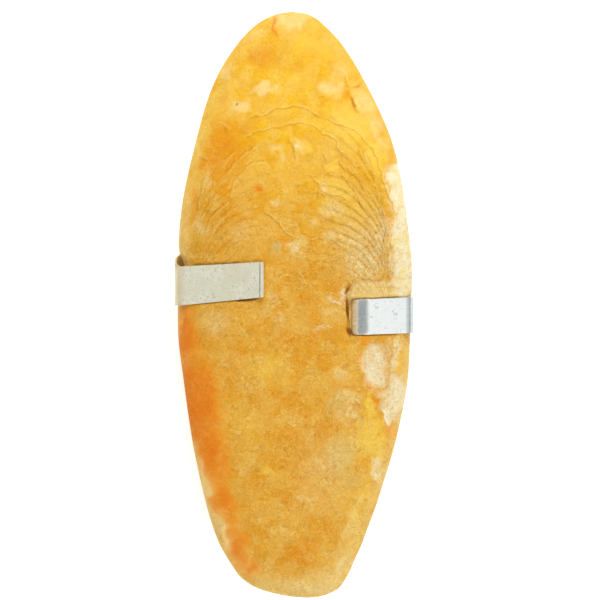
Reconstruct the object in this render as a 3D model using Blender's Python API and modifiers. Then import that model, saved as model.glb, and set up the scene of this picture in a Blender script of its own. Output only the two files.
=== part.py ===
"""A dyed cuttlebone for a bird cage, lying on its back, with the tin holder that is folded round it.

The bone is one natural piece, with its soft inner face up. The holder is one piece of sheet metal, stamped
with four tongues: one at each end is folded over the bone's edge onto its face, and the other one at each
end is folded back under the plate into a hook for a cage bar. The part lies on the two hooks.

+X is across the bone, +Y runs to its rounded front end, and +Z is up, out of the soft face.
"""

import math

import bmesh
import bpy
import numpy as np
from mathutils import Vector, noise

MM = 0.001

# Driving sizes, in millimetres.
BONE_LENGTH = 152.0
SHEET = 0.45  # thickness of the tin
HOOK_GAP = 3.0  # room for a cage bar
CLEARANCE = 0.45  # between the bone's smooth skin and the tin

# Heights, in millimetres above the surface that the hooks stand on.
HOOK_MIDDLE = SHEET / 2
PLATE_MIDDLE = HOOK_MIDDLE + SHEET + HOOK_GAP
BACK_LOWEST = PLATE_MIDDLE + SHEET / 2 + CLEARANCE

# The bone's outline: place along the length from -1, the tail, to 1, the front; half width over that of a
# circle; and how far the middle lies to the right of the part's middle. The last two are in millimetres.
OUTLINE = (
    (-1.00, 40.0, 3.2),
    (-0.98, 42.0, 1.75),
    (-0.94, 38.3, 0.1),
    (-0.90, 34.9, -0.4),
    (-0.80, 31.7, -0.9),
    (-0.67, 30.2, -0.65),
    (-0.45, 29.9, 0.05),
    (-0.25, 30.2, 0.4),
    (-0.12, 30.35, 0.05),
    (0.00, 30.4, 0.15),
    (0.12, 30.65, 0.3),
    (0.30, 30.85, -0.1),
    (0.55, 30.75, 0.0),
    (0.80, 30.05, -1.2),
    (0.90, 29.75, -1.15),
    (0.96, 30.0, -1.0),
    (1.00, 31.5, -0.3),
)

# The bone's section, in millimetres.
EDGE_UPPER = 3.2  # height of the rounded edge above the widest line
EDGE_LOWER = 1.8
EDGE_SHARPNESS = 14
DOME_HEIGHT = 7.6
DOME_POWER = 2.5
DOME_LEAN = 0.10  # the front half is this much thicker than the tail half
BACK_DEPTH = 3.2
TIP_LIFT = 3.0  # the widest line rises to the two tips
EDGE_HEIGHT = BACK_LOWEST + BACK_DEPTH + EDGE_LOWER

# Growth lines: arches of thin laminae, each a small step down towards the tail.
FIRST_ARCH = 51.5  # the arch nearest to the front, where it crosses the middle
LAST_ARCH = 17.0  # behind this one the lines lie too close together to show as steps
ARCH_DROP = 9.1  # how fast an arch falls towards the sides
ARCH_CROWDING = 0.066  # how fast the arches draw together towards the tail
RIM_LEFT = 3.0  # plain horny rim outside the arches
RIM_RIGHT = 4.6
STEP = 0.42  # height of one step
STEP_SHARE = 0.18  # how much of the way from one line to the next the step's fall takes
STEPS_FADE_IN = (2, 16)  # from the holder to here along the length, the steps grow to full height

# The rest of the relief: height of each kind, and the length of its lumps, in millimetres.
GROOVE_DEPTH = 0.45  # down the middle of the soft face
GROOVE_HALF = 3.4
GROOVE_ENDS = (30, 52)
LOW_LUMPS = (0.30, 16.0)
SMALL_LUMPS = (0.12, 5.0)
BACK_LUMPS = (0.25, 13.0)
LINE_WANDER = (1.5, 11.0)
RIB_HEIGHT = 0.35  # low ribs along the back
RIB_REACH = 0.75  # they cover this share of the width
BACK_SMOOTH = (16, 26)  # no relief where the plate lies, full relief from the second place on

# The bed round the right tongue: its left wall, as pairs of place along the bone and distance from the
# bone's middle.
BED_WALL = (
    (-8.4, 14.4),
    (-7.1, 14.2),
    (-4.2, 14.1),
    (-1.6, 13.8),
    (0.7, 13.6),
    (3.3, 14.0),
    (4.9, 14.7),
    (6.3, 16.0),
)
BED_TOP = 6.4
BED_DEPTH = 1.0
BED_FADE = (17.0, 27.0)
BED_MARGIN = 0.7  # free room between a tongue's edge and the wall of its bed
BED_SLOPE = 0.8

# The dent in the left edge beside the holder's shoulder.
DENT_PLACE = 10.4
DENT_LENGTH = 2.6
DENT_DEPTH = 1.3
DENT_REACH = (22, 30)

# The holder's plate, in millimetres. It sits to the left of the bone's middle, and is turned a little.
PLATE_SHIFT = 3.4
PLATE_HALF = 16.0  # from its middle to the start of each slit
PLATE_LOW = -12.0
PLATE_HIGH = 14.3
SLIT_PLACE = 0.9
SLIT_HALF = 0.25
PLATE_TURN = 0.036  # rise over run

# The tongues that lie on the soft face: distance from the middle, lower edge and upper edge, at the tip
# and where they come over the side. The shoulder of the left wall reaches further up.
LEFT_WALL = 30.68
RIGHT_WALL = 30.82
LEFT_TIP = (7.9, 2.0, 11.05)
LEFT_ROOT = (LEFT_WALL, -0.2, 9.9)
LEFT_SHOULDER = 12.6
RIGHT_TIP = (15.1, -7.85, 1.25)
RIGHT_ROOT = (RIGHT_WALL, -7.3, 2.0)

# How the four tongues are bent: corners as distance from the bone's middle and height, with their radius.
HOOK_RADIUS = (PLATE_MIDDLE - HOOK_MIDDLE) / 2
LEFT_FOLD = (
    ((PLATE_SHIFT, PLATE_MIDDLE), 0),
    ((19.5, PLATE_MIDDLE), 5.0),
    ((28.9, 6.5), 2.0),
    ((LEFT_WALL, 8.6), 1.2),
    ((LEFT_WALL, 13.0), 2.2),
    ((8.75, 20.95), 0.35),
    ((7.9, 20.25), 0),
)
RIGHT_FOLD = (
    ((-PLATE_SHIFT, PLATE_MIDDLE), 0),
    ((18.5, PLATE_MIDDLE), 5.0),
    ((29.1, 6.6), 2.0),
    ((RIGHT_WALL, 8.3), 1.2),
    ((RIGHT_WALL, 12.4), 1.6),
    ((18.3, 17.5), 2.6),
    ((15.1, 16.2), 0),
)
LEFT_HOOK = (
    ((PLATE_SHIFT, PLATE_MIDDLE), 0),
    ((25.7, PLATE_MIDDLE), HOOK_RADIUS),
    ((25.7, HOOK_MIDDLE), HOOK_RADIUS),
    ((9.0, HOOK_MIDDLE), 0),
)
RIGHT_HOOK = (
    ((-PLATE_SHIFT, PLATE_MIDDLE), 0),
    ((22.3, PLATE_MIDDLE), HOOK_RADIUS),
    ((22.3, HOOK_MIDDLE), HOOK_RADIUS),
    ((6.0, HOOK_MIDDLE), 0),
)

# The edges of each tongue: way along its bent line from the plate's middle, lower edge and upper edge.
LEFT_FOLD_EDGES = ((26.5, -0.1, 13.6), (29.0, -0.2, 11.9), (34.0, *LEFT_ROOT[1:]), (57.5, *LEFT_TIP[1:]))
RIGHT_FOLD_EDGES = ((25, -10.6, 1.4), (31, -7.3, 1.9), (39, *RIGHT_ROOT[1:]), (56.5, *RIGHT_TIP[1:]))
LEFT_HOOK_EDGES = ((18.5, -12.7, -0.1), (23.0, -11.7, -2.2), (42.5, -11.7, -2.2))
RIGHT_HOOK_EDGES = ((18.5, 1.6, 14.6), (25.5, 3.2, 12.6), (45.0, 3.2, 12.6))
TIP_CORNERS = (0.35, 0.9, 1.2, 1.2)  # left and right fold, left and right hook

BONE_COLOUR = (0.80, 0.43, 0.075, 1.0)
TIN_COLOUR = (0.72, 0.74, 0.72, 1.0)

BONE_SEGMENTS = 232
BONE_RINGS = 300
BONE_TRIANGLES = 8000
END_COLUMNS = 40  # across each half of the holder
PLATE_COLUMNS = 4  # of these, the ones before the slit starts
TIP_COLUMNS = 4  # and the ones in the rounded corners of a tongue's tip
TURN_EFFORT = 5.0  # how many millimetres of flat sheet one radian of bend is worth


def start_scene():
    """Clears the scene and returns the collection that holds the part."""
    for old in list(bpy.data.objects):
        bpy.data.objects.remove(old, do_unlink=True)
    part = bpy.data.collections.new("cuttlebone_with_holder")
    bpy.context.scene.collection.children.link(part)
    return part


def finish_of(name, colour, roughness, metallic):
    """A plain material for one sub-part."""
    material = bpy.data.materials.new(name)
    material.use_nodes = True
    shader = material.node_tree.nodes["Principled BSDF"]
    shader.inputs["Base Color"].default_value = colour
    shader.inputs["Roughness"].default_value = roughness
    shader.inputs["Metallic"].default_value = metallic
    return material


def along(stations, column, at):
    """Smooth curve through one column of a table of stations, read at one or many places."""
    table = np.array(stations)
    place, value = table[:, 0], table[:, column]
    slope = np.gradient(value, place)
    i = np.clip(np.searchsorted(place, at) - 1, 0, len(place) - 2)
    gap = place[i + 1] - place[i]
    t = (at - place[i]) / gap
    rise = value[i + 1] - value[i]
    ease = t * t * (3 - 2 * t)
    swing = t * (1 - t) * gap * (slope[i] * (1 - t) - slope[i + 1] * t)
    return value[i] + rise * ease + swing


def ramp(value, low, high):
    """0 below low, 1 above high, and smooth between them."""
    t = np.clip((value - low) / (high - low), 0.0, 1.0)
    return t * t * (3 - 2 * t)


def lumps(points, kind, seed):
    """Smooth seeded lumps at each point, of the height and length that the kind gives."""
    height, length = kind
    shift = Vector((seed * 17.3, seed * 5.1, seed * 9.7))
    return height * np.array([noise.noise(Vector(p) / length + shift) for p in points])


def arch_place(x, y, b):
    """Where the growth arch through a point crosses the middle, and how near the point is to the rim."""
    half = along(OUTLINE, 1, b) * np.sqrt(np.clip(1 - b * b, 0.001, 1))
    off = x - along(OUTLINE, 2, b)
    rim = np.where(off < 0, RIM_LEFT, RIM_RIGHT)
    side = np.abs(off) / np.maximum(half - rim, 1.0)
    return y - ARCH_DROP * np.log(1 - np.clip(side, 0, 0.975) ** 2), side


def arch_steps(x, y, b, wobble):
    """Height of the growth steps: a ramp up towards the front, and a sharp fall at each lamina's edge."""
    crossing, side = arch_place(x, y, b)
    crossing = crossing + wobble
    count = np.log(1 + ARCH_CROWDING * np.maximum(crossing, 0.0)) / ARCH_CROWDING
    phase = count % 1.0
    saw = np.minimum(phase / STEP_SHARE, (1 - phase) / (1 - STEP_SHARE))
    behind_first = 1 - ramp(crossing, FIRST_ARCH, FIRST_ARCH + 1.5)
    before_last = ramp(crossing, LAST_ARCH, LAST_ARCH + 12)
    inside_rim = 1 - ramp(side, 0.93, 1.05)
    return STEP * saw * behind_first * before_last * inside_rim * ramp(y, *STEPS_FADE_IN)


def bent_line(fold):
    """Points along a strip that is bent with a round corner at each inner place of the fold."""
    corners = [np.array(corner) for corner, radius in fold]
    points = [corners[0]]
    for before, here, after, (_, radius) in zip(corners, corners[1:], corners[2:], fold[1:]):
        into = (here - before) / np.linalg.norm(here - before)
        onward = (after - here) / np.linalg.norm(after - here)
        turn = math.atan2(into[0] * onward[1] - into[1] * onward[0], into @ onward)
        to_centre = np.array((-into[1], into[0])) * math.copysign(radius, turn)
        start = here - into * radius * math.tan(abs(turn) / 2)
        for angle in np.linspace(0, turn, 13):
            turned = np.array(((math.cos(angle), -math.sin(angle)), (math.sin(angle), math.cos(angle))))
            points.append(start + to_centre - turned @ to_centre)
    points.append(corners[-1])
    points = np.array(points)
    apart = np.linalg.norm(np.diff(points, axis=0), axis=1) > 0.001
    return points[np.append(True, apart)]


def under_tongue(distance, fold):
    """Height of the lower side of a tongue that lies on the bone's face, less the clearance."""
    line = bent_line(fold)
    wall_top = len(line) - 1 - np.argmax(line[::-1, 0])
    line = line[wall_top:]
    height = np.interp(distance, line[::-1, 0], line[::-1, 1])
    return height - SHEET * 0.6 - CLEARANCE


def within(y, low, high):
    """1 between a tongue's two edges and a little beyond them, falling to 0 at the walls of its bed."""
    after_low = ramp(y, low - BED_MARGIN - BED_SLOPE, low - BED_MARGIN)
    return after_low * (1 - ramp(y, high + BED_MARGIN, high + BED_MARGIN + BED_SLOPE))


def tongue_bed(x, y, distance, face, tip, root, fold):
    """Depth of the bed that one tongue presses into the face, before the wall beyond its tip."""
    low = np.interp(distance, (tip[0], root[0]), (tip[1], root[1]))
    high = np.interp(distance, (tip[0], root[0]), (tip[2], root[2]))
    depth = np.maximum(face - under_tongue(distance, fold), 0)
    return within(y, low, high) * depth, low


def pressed_face(x, y, face):
    """The bone's face with both tongues pressed into it, and the open part of the right tongue's bed."""
    left_depth, _ = tongue_bed(x, y, -x, face, LEFT_TIP, LEFT_ROOT, LEFT_FOLD)
    left_depth = left_depth * ramp(-x, LEFT_TIP[0] - BED_MARGIN - BED_SLOPE, LEFT_TIP[0] - BED_MARGIN)
    right_depth, right_low = tongue_bed(x, y, x, face, RIGHT_TIP, RIGHT_ROOT, RIGHT_FOLD)
    wall = np.interp(y, *zip(*BED_WALL))
    behind_wall = ramp(x, wall - 0.6 * BED_SLOPE, wall + 0.4 * BED_SLOPE)
    open_part = ramp(y, right_low, right_low + 2) * (1 - ramp(y, BED_TOP - 0.5, BED_TOP + 0.3))
    open_depth = BED_DEPTH * open_part * (1 - 0.5 * ramp(y, 2, BED_TOP)) * (1 - ramp(x, *BED_FADE))
    return face - np.maximum(left_depth, behind_wall * np.maximum(right_depth, open_depth))


def pressed_sides(x, y):
    """The bone's sides with the holder's walls pressed into them."""
    room = SHEET / 2 + CLEARANCE
    free = 2.5
    left_limit = LEFT_WALL - room + free * (1 - within(y, LEFT_ROOT[1], LEFT_SHOULDER))
    right_limit = RIGHT_WALL - room + free * (1 - within(y, RIGHT_ROOT[1], RIGHT_ROOT[2]))
    return np.clip(x, -left_limit, right_limit)


def bone_skin(a, b, upper):
    """The bone's smooth surface over the unit disc: a runs across it, b along it, on either face."""
    reach = np.minimum(np.hypot(a, b), 1.0)
    x = along(OUTLINE, 2, b) + a * along(OUTLINE, 1, b)
    y = b * BONE_LENGTH / 2
    edge = np.sqrt(np.clip(1 - reach**EDGE_SHARPNESS, 0, 1))
    widest = EDGE_HEIGHT + TIP_LIFT * b * b
    face = widest + EDGE_UPPER * edge + DOME_HEIGHT * (1 + DOME_LEAN * b) * (1 - reach**DOME_POWER)
    back = widest - EDGE_LOWER * edge - BACK_DEPTH * (1 - reach**2)
    return x, y, np.where(upper, face, back)


def bone_relief(x, y, z, a, b, upper):
    """The smooth skin's points moved to give steps, a groove, ribs, lumps and the holder's dents."""
    flat = np.column_stack((x, y, z))
    off_edge = 1 - ramp(np.hypot(a, b), 0.90, 0.985)
    groove = GROOVE_DEPTH * np.exp(-((x / GROOVE_HALF) ** 2)) * (1 - ramp(np.abs(y), *GROOVE_ENDS))
    face = arch_steps(x, y, b, lumps(flat, LINE_WANDER, 1)) - groove
    face = face + lumps(flat, LOW_LUMPS, 3) + lumps(flat, SMALL_LUMPS, 4)
    four_ribs = np.cos(np.clip(a / RIB_REACH, -1, 1) * 3 * math.pi)
    ribs = RIB_HEIGHT * four_ribs * (1 - ramp(np.abs(b), 0.5, 0.95))
    back = (lumps(flat, BACK_LUMPS, 5) - ribs) * ramp(np.abs(y), *BACK_SMOOTH)
    z = z + np.where(upper, face, back) * off_edge
    z = np.where(upper, pressed_face(x, y, z), z)
    grip = DENT_DEPTH * np.exp(-(((y - DENT_PLACE) / DENT_LENGTH) ** 2)) * ramp(-x, *DENT_REACH)
    return pressed_sides(x + grip, y), y, z


def make_bone(part):
    """The cuttlebone, from a ball whose poles are the two tips."""
    ball = bmesh.new()
    bmesh.ops.create_uvsphere(ball, u_segments=BONE_SEGMENTS, v_segments=BONE_RINGS, radius=1.0)
    start = np.array([v.co for v in ball.verts])
    a, c, b = start[:, 0], start[:, 1], np.clip(start[:, 2], -1, 1)
    upper = c > 0
    x, y, z = bone_skin(a, b, upper)
    x, y, z = bone_relief(x, y, z, a, b, upper)
    for vertex, place in zip(ball.verts, np.column_stack((x, y, z))):
        vertex.co = Vector(place) * MM
    bmesh.ops.recalc_face_normals(ball, faces=ball.faces)
    mesh = bpy.data.meshes.new("cuttlebone")
    triangles = 2 * len(ball.faces) - 2 * BONE_SEGMENTS
    ball.to_mesh(mesh)
    ball.free()
    bone = bpy.data.objects.new("cuttlebone", mesh)
    part.objects.link(bone)
    thin = bone.modifiers.new("fewer_facets", "DECIMATE")
    thin.ratio = BONE_TRIANGLES / triangles
    thin.use_collapse_triangulate = True
    mesh.shade_smooth()
    mesh.materials.append(finish_of("dyed_bone", BONE_COLOUR, 0.62, 0.0))
    return bone


def spread_columns(line, corner):
    """Picks places along a bent line, close together where it turns and at its tip's round corners."""
    steps = np.diff(line, axis=0)
    lengths = np.hypot(steps[:, 0], steps[:, 1])
    headings = np.unwrap(np.arctan2(steps[:, 1], steps[:, 0]))
    turns = np.abs(np.append(np.diff(headings), 0))
    way = np.append(0, np.cumsum(lengths))
    effort = np.append(0, np.cumsum(lengths + TURN_EFFORT * turns))
    plate = np.linspace(0, PLATE_HALF, PLATE_COLUMNS + 1)
    slit_end, tip_start = np.interp((PLATE_HALF, way[-1] - corner), way, effort)
    bent = np.linspace(slit_end, tip_start, END_COLUMNS - PLATE_COLUMNS - TIP_COLUMNS)[1:]
    tip = way[-1] - corner + corner * np.sin(np.linspace(0, math.pi / 2, TIP_COLUMNS + 1))[1:]
    chosen = np.concatenate((plate, np.interp(bent, effort, way), tip))
    beyond = np.clip(chosen - way[-1] + corner, 0, corner)
    inset = corner - np.sqrt(corner**2 - beyond**2)
    return chosen, np.interp(chosen, way, line[:, 0]), np.interp(chosen, way, line[:, 1]), inset


def tongue_columns(fold, edges, corner, side, is_upper):
    """Two rows of points, the lower and the upper edge of half of the plate and the tongue at its end."""
    way, distance, height, inset = spread_columns(bent_line(fold), corner)
    x = side * distance
    turned = PLATE_TURN * x
    plate_low = turned + (SLIT_PLACE + SLIT_HALF if is_upper else PLATE_LOW)
    plate_high = turned + (PLATE_HIGH if is_upper else SLIT_PLACE - SLIT_HALF)
    places, lows, highs = zip(*edges)
    blend = ramp(way, PLATE_HALF, places[0])
    low = plate_low * (1 - blend) + np.interp(way, places, lows) * blend + inset
    high = plate_high * (1 - blend) + np.interp(way, places, highs) * blend - inset
    return np.column_stack((x, low, height)), np.column_stack((x, high, height))


def make_holder(part):
    """The holder, from one flat sheet: slit at both ends, then bent."""
    left_upper = tongue_columns(LEFT_FOLD, LEFT_FOLD_EDGES, TIP_CORNERS[0], -1, True)
    right_lower = tongue_columns(RIGHT_FOLD, RIGHT_FOLD_EDGES, TIP_CORNERS[1], 1, False)
    left_lower = tongue_columns(LEFT_HOOK, LEFT_HOOK_EDGES, TIP_CORNERS[2], -1, False)
    right_upper = tongue_columns(RIGHT_HOOK, RIGHT_HOOK_EDGES, TIP_CORNERS[3], 1, True)
    rows = []
    for left, right in ((left_lower, right_lower), (left_upper, right_upper)):
        for edge in (0, 1):
            rows.append(np.vstack((left[edge][:0:-1], right[edge])))
    sheet = bmesh.new()
    columns = 2 * END_COLUMNS - 1
    bmesh.ops.create_grid(sheet, x_segments=columns - 1, y_segments=3, size=1.0)
    sheet.verts.ensure_lookup_table()
    for vertex in sheet.verts:
        column = round((vertex.co.x + 1) / 2 * (columns - 1))
        row = round((vertex.co.y + 1) / 2 * 3)
        vertex.co = Vector(rows[row][column]) * MM
        vertex.index = row * columns + column
    slit = []
    for face in sheet.faces:
        places = [divmod(vertex.index, columns) for vertex in face.verts]
        in_slit_row = {row for row, column in places} == {1, 2}
        reach = min(abs(column - END_COLUMNS + 1) for row, column in places)
        if in_slit_row and reach >= PLATE_COLUMNS:
            slit.append(face)
    bmesh.ops.delete(sheet, geom=slit, context="FACES")
    mesh = bpy.data.meshes.new("holder")
    sheet.to_mesh(mesh)
    sheet.free()
    holder = bpy.data.objects.new("holder", mesh)
    part.objects.link(holder)
    thicken = holder.modifiers.new("sheet_thickness", "SOLIDIFY")
    thicken.thickness = SHEET * MM
    thicken.offset = 0
    thicken.use_even_offset = True
    mesh.shade_smooth()
    mesh.materials.append(finish_of("tinplate", TIN_COLOUR, 0.32, 1.0))
    return holder


part_collection = start_scene()
make_bone(part_collection)
make_holder(part_collection)
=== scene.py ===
"""A dyed cuttlebone in its tin cage holder, lying on its back under a straight-down camera."""

import math

import bmesh
import bpy
import numpy as np
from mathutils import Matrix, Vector, noise


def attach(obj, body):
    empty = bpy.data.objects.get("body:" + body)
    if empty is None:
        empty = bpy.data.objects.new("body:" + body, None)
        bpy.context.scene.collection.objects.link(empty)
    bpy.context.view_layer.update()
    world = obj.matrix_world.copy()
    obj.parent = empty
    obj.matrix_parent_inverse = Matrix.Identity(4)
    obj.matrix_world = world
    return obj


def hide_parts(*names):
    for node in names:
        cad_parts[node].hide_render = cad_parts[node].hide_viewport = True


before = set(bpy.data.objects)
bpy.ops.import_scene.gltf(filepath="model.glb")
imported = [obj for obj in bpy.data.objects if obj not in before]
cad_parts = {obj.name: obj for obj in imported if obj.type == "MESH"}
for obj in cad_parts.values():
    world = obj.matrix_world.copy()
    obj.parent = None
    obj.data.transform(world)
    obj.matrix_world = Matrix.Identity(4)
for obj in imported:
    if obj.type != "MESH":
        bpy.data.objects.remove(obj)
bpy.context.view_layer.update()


# The cuttlebone
#
# The chalky inner shell of a cuttlefish, soaked in orange dye. Its soft face grew as hundreds of thin
# laminae, whose edges show as arches. The two folded tongues of the holder are pressed into it.
# Sizes here and in the holder are in millimetres.

MM = 0.001
BONE_LENGTH = 151.99

# Place along the bone, from -1 at the tail to 1 at the front. Then its half width over that of a unit circle,
# and how far its middle lies to the right.
BONE_OUTLINE = (
    (-1.00, 40.0, 3.2),
    (-0.98, 42.0, 1.75),
    (-0.94, 38.3, 0.1),
    (-0.90, 34.9, -0.4),
    (-0.80, 31.7, -0.9),
    (-0.67, 30.2, -0.65),
    (-0.45, 29.9, 0.05),
    (-0.25, 30.2, 0.4),
    (-0.12, 30.35, 0.05),
    (0.00, 30.4, 0.15),
    (0.12, 30.65, 0.3),
    (0.30, 30.85, -0.1),
    (0.55, 30.75, 0.0),
    (0.80, 30.05, -1.2),
    (0.90, 29.75, -1.15),
    (0.96, 30.0, -1.0),
    (1.00, 31.5, -0.3),
)
# Heights: of the shell's lowest line above the table, of the edge above and below its widest line, of the
# soft face's dome, of the shell's bulge, and how far the two tips lift.
BACK_HEIGHT = 4.35
EDGE_RISE = (3.2, 1.8)
DOME_HEIGHT = 7.6
BACK_DEPTH = 3.2
TIP_LIFT = 3.0

# The laminae's edges: how far they drop beside the middle, their half width, how fast they spread towards the
# front, where the foremost one lies, and how wide the plain rim beside them is at the left and right.
ARCH_DROP = 9.1
ARCH_REACH = 26.0
ARCH_SPREAD = 0.066
FOREMOST_ARCH = (51.5, 53.0)
PLAIN_RIM = (3.0, 4.6)

# The holder's tongues, which the bone is shaped to: the tin's thickness and the space under it, then the
# corners of each bent line and their radii.
TIN = 0.45
CLEAR = 0.2
PLATE_HEIGHT = 3.675
HOOK_HEIGHT = 0.225
HOOK_RADIUS = (PLATE_HEIGHT - HOOK_HEIGHT) / 2
PLATE_SHIFT = 3.4
LEFT_WALL = 30.68
RIGHT_WALL = 30.82
LEFT_FOLD = (
    ((PLATE_SHIFT, PLATE_HEIGHT), 0),
    ((19.5, PLATE_HEIGHT), 5.0),
    ((28.9, 6.5), 2.0),
    ((LEFT_WALL, 8.6), 1.2),
    ((LEFT_WALL, 13.0), 2.2),
    ((8.75, 20.95), 0.35),
    ((7.9, 20.25), 0),
)
RIGHT_FOLD = (
    ((-PLATE_SHIFT, PLATE_HEIGHT), 0),
    ((18.5, PLATE_HEIGHT), 5.0),
    ((29.1, 6.6), 2.0),
    ((RIGHT_WALL, 8.3), 1.2),
    ((RIGHT_WALL, 12.4), 2.2),
    ((17.5, 17.8), 6.0),
    ((15.1, 16.68), 0),
)
# Each tongue at its tip and at its root: distance from the middle, lower edge and upper edge.
LEFT_TIP = (7.9, 2.0, 11.05)
LEFT_ROOT = (LEFT_WALL, -0.2, 9.9)
RIGHT_TIP = (15.1, -7.85, 1.25)
RIGHT_ROOT = (RIGHT_WALL, -7.3, 2.0)
# The right tongue's bed: its inner wall, as places along the bone and across it, and its front end.
BED_WALL = (
    (-8.4, 14.9),
    (-7.1, 14.3),
    (-4.2, 14.0),
    (-1.6, 13.7),
    (0.7, 13.5),
    (3.3, 13.9),
    (4.9, 14.7),
    (6.3, 16.2),
)
BED_TOP = 6.4
# Where the holder's two walls pinch the bone, how far off them it stays, and how far it may bulge elsewhere.
LEFT_PINCH = (-0.2, 12.6)
RIGHT_PINCH = (-7.4, 2.0)
WALL_GAP = 0.3
BULGE = 2.5


def ramp(value, low, high):
    """0 below low, 1 above high, and smooth between them."""
    t = np.clip((value - low) / (high - low), 0.0, 1.0)
    return t * t * (3 - 2 * t)


def outline(column, at):
    """Smooth curve through one column of the bone's outline."""
    table = np.array(BONE_OUTLINE)
    place, value = table[:, 0], table[:, column]
    slope = np.gradient(value, place)
    i = np.clip(np.searchsorted(place, at) - 1, 0, len(place) - 2)
    gap = place[i + 1] - place[i]
    t = (at - place[i]) / gap
    swing = t * (1 - t) * gap * (slope[i] * (1 - t) - slope[i + 1] * t)
    return value[i] + (value[i + 1] - value[i]) * t * t * (3 - 2 * t) + swing


def lumps(points, height, length, seed):
    """Smooth seeded lumps of one height and length at each point."""
    shift = Vector((seed * 17.3, seed * 5.1, seed * 9.7))
    return height * np.array([noise.noise(Vector(p) / length + shift) for p in points])


def bent_line(fold):
    """Points along a strip of tin that is bent with a round corner at each inner place of the fold."""
    corners = [np.array(corner) for corner, radius in fold]
    points = [corners[0]]
    for before, here, after, (_, radius) in zip(corners, corners[1:], corners[2:], fold[1:]):
        into = (here - before) / np.linalg.norm(here - before)
        onward = (after - here) / np.linalg.norm(after - here)
        turn = math.atan2(into[0] * onward[1] - into[1] * onward[0], into @ onward)
        to_centre = np.array((-into[1], into[0])) * math.copysign(radius, turn)
        start = here - into * radius * math.tan(abs(turn) / 2)
        for angle in np.linspace(0, turn, 25):
            turned = np.array(((math.cos(angle), -math.sin(angle)), (math.sin(angle), math.cos(angle))))
            points.append(start + to_centre - turned @ to_centre)
    points.append(corners[-1])
    points = np.array(points)
    apart = np.linalg.norm(np.diff(points, axis=0), axis=1) > 0.001
    return points[np.append(True, apart)]


def within(y, low, high, margin, slope):
    """1 between a tongue's two edges and a margin beyond them, falling to 0 at the walls of its bed."""
    after_low = ramp(y, low - margin - slope, low - margin)
    return after_low * (1 - ramp(y, high + margin, high + margin + slope))


def tongue_bed(distance, y, face, tip, root, fold):
    """Depth of the bed that one tongue presses into the soft face, and where the tongue's lower edge is."""
    line = bent_line(fold)
    line = line[len(line) - 1 - np.argmax(line[::-1, 0]):]
    under = np.interp(distance, line[::-1, 0], line[::-1, 1]) - TIN * 0.6 - CLEAR
    low = np.interp(distance, (tip[0], root[0]), (tip[1], root[1]))
    high = np.interp(distance, (tip[0], root[0]), (tip[2], root[2]))
    return within(y, low, high, 0.15, 0.55) * np.maximum(face - under, 0), low


def bone_skin(a, b, upper):
    """The bone's smooth surface over the unit disc: a runs across it, b along it, on either face."""
    reach = np.minimum(np.hypot(a, b), 1.0)
    edge = np.sqrt(np.clip(1 - reach**14, 0, 1))
    widest = BACK_HEIGHT + BACK_DEPTH + EDGE_RISE[1] + TIP_LIFT * b * b
    face = widest + EDGE_RISE[0] * edge + DOME_HEIGHT * (1 + 0.1 * b) * (1 - reach**2.5)
    back = widest - EDGE_RISE[1] * edge - BACK_DEPTH * (1 - reach**2)
    return outline(2, b) + a * outline(1, b), b * BONE_LENGTH / 2, np.where(upper, face, back)


def arches(x, y, b):
    """Where each point's own arch crosses the bone's middle, and how near the point is to the plain rim."""
    half = outline(1, b) * np.sqrt(np.clip(1 - b * b, 0.001, 1))
    off = x - outline(2, b)
    side = np.abs(off) / np.maximum(half - np.where(off < 0, *PLAIN_RIM), 1.0)
    crossing = y - ARCH_DROP * np.log(1 - np.clip(side, 0, 0.975) ** 2)
    return crossing, side


def arch_strength(x, y):
    """How strongly the laminae's edges show: most at the sides, most of all at the right, less in front."""
    at_sides = 0.22 + 0.78 * ramp(np.abs(x + 2), 4, 17)
    return at_sides * (0.75 + 0.25 * ramp(x, -8, 12)) * (1 - 0.5 * ramp(y, 22, 38))


def spots(x, y, places):
    """Soft spots on the face: each is x, y, half width, half length, turn in degrees and strength."""
    total = np.zeros_like(x)
    for px, py, wide, long, turn, strength in places:
        c, s = math.cos(math.radians(turn)), math.sin(math.radians(turn))
        u = ((x - px) * c + (y - py) * s) / wide
        v = (-(x - px) * s + (y - py) * c) / long
        total = np.maximum(total, strength * np.exp(-0.7 * (u * u + v * v)))
    return total


def drawn(x, y):
    """Each point's signed distance from the nearest drawn line, in half widths, and the line's strength."""
    first = np.full_like(x, 99.0)
    second = np.full_like(x, 99.0)
    offset = np.full_like(x, 99.0)
    strength = np.zeros_like(x)
    for half_width, line_strength, points in DRAWN_LINES:
        points = np.array(points)
        way = np.append(0, np.cumsum(np.hypot(*np.diff(points, axis=0).T)))
        here = np.full_like(x, 99.0)
        side = np.ones_like(x)
        share = np.zeros_like(x)
        for i in range(len(points) - 1):
            (px, py), (dx, dy) = points[i], points[i + 1] - points[i]
            t = np.clip(((x - px) * dx + (y - py) * dy) / (dx * dx + dy * dy), 0, 1)
            apart = np.hypot(x - px - t * dx, y - py - t * dy)
            nearer = apart < here
            here = np.where(nearer, apart, here)
            side = np.where(nearer, np.where(dx * (y - py) - dy * (x - px) < 0, -1.0, 1.0), side)
            share = np.where(nearer, (way[i] + t * (way[i + 1] - way[i])) / way[-1], share)
        nearest = here < first
        second = np.where(nearest, first, np.minimum(second, here))
        first = np.where(nearest, here, first)
        offset = np.where(nearest, side * here / half_width, offset)
        fade = np.clip(np.minimum(share, 1 - share) * way[-1] / 0.8, 0, 1)
        strength = np.where(nearest, line_strength * fade, strength)
    return np.clip(offset, -9, 9), strength * ramp(second - first, 0.2, 0.6)


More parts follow.
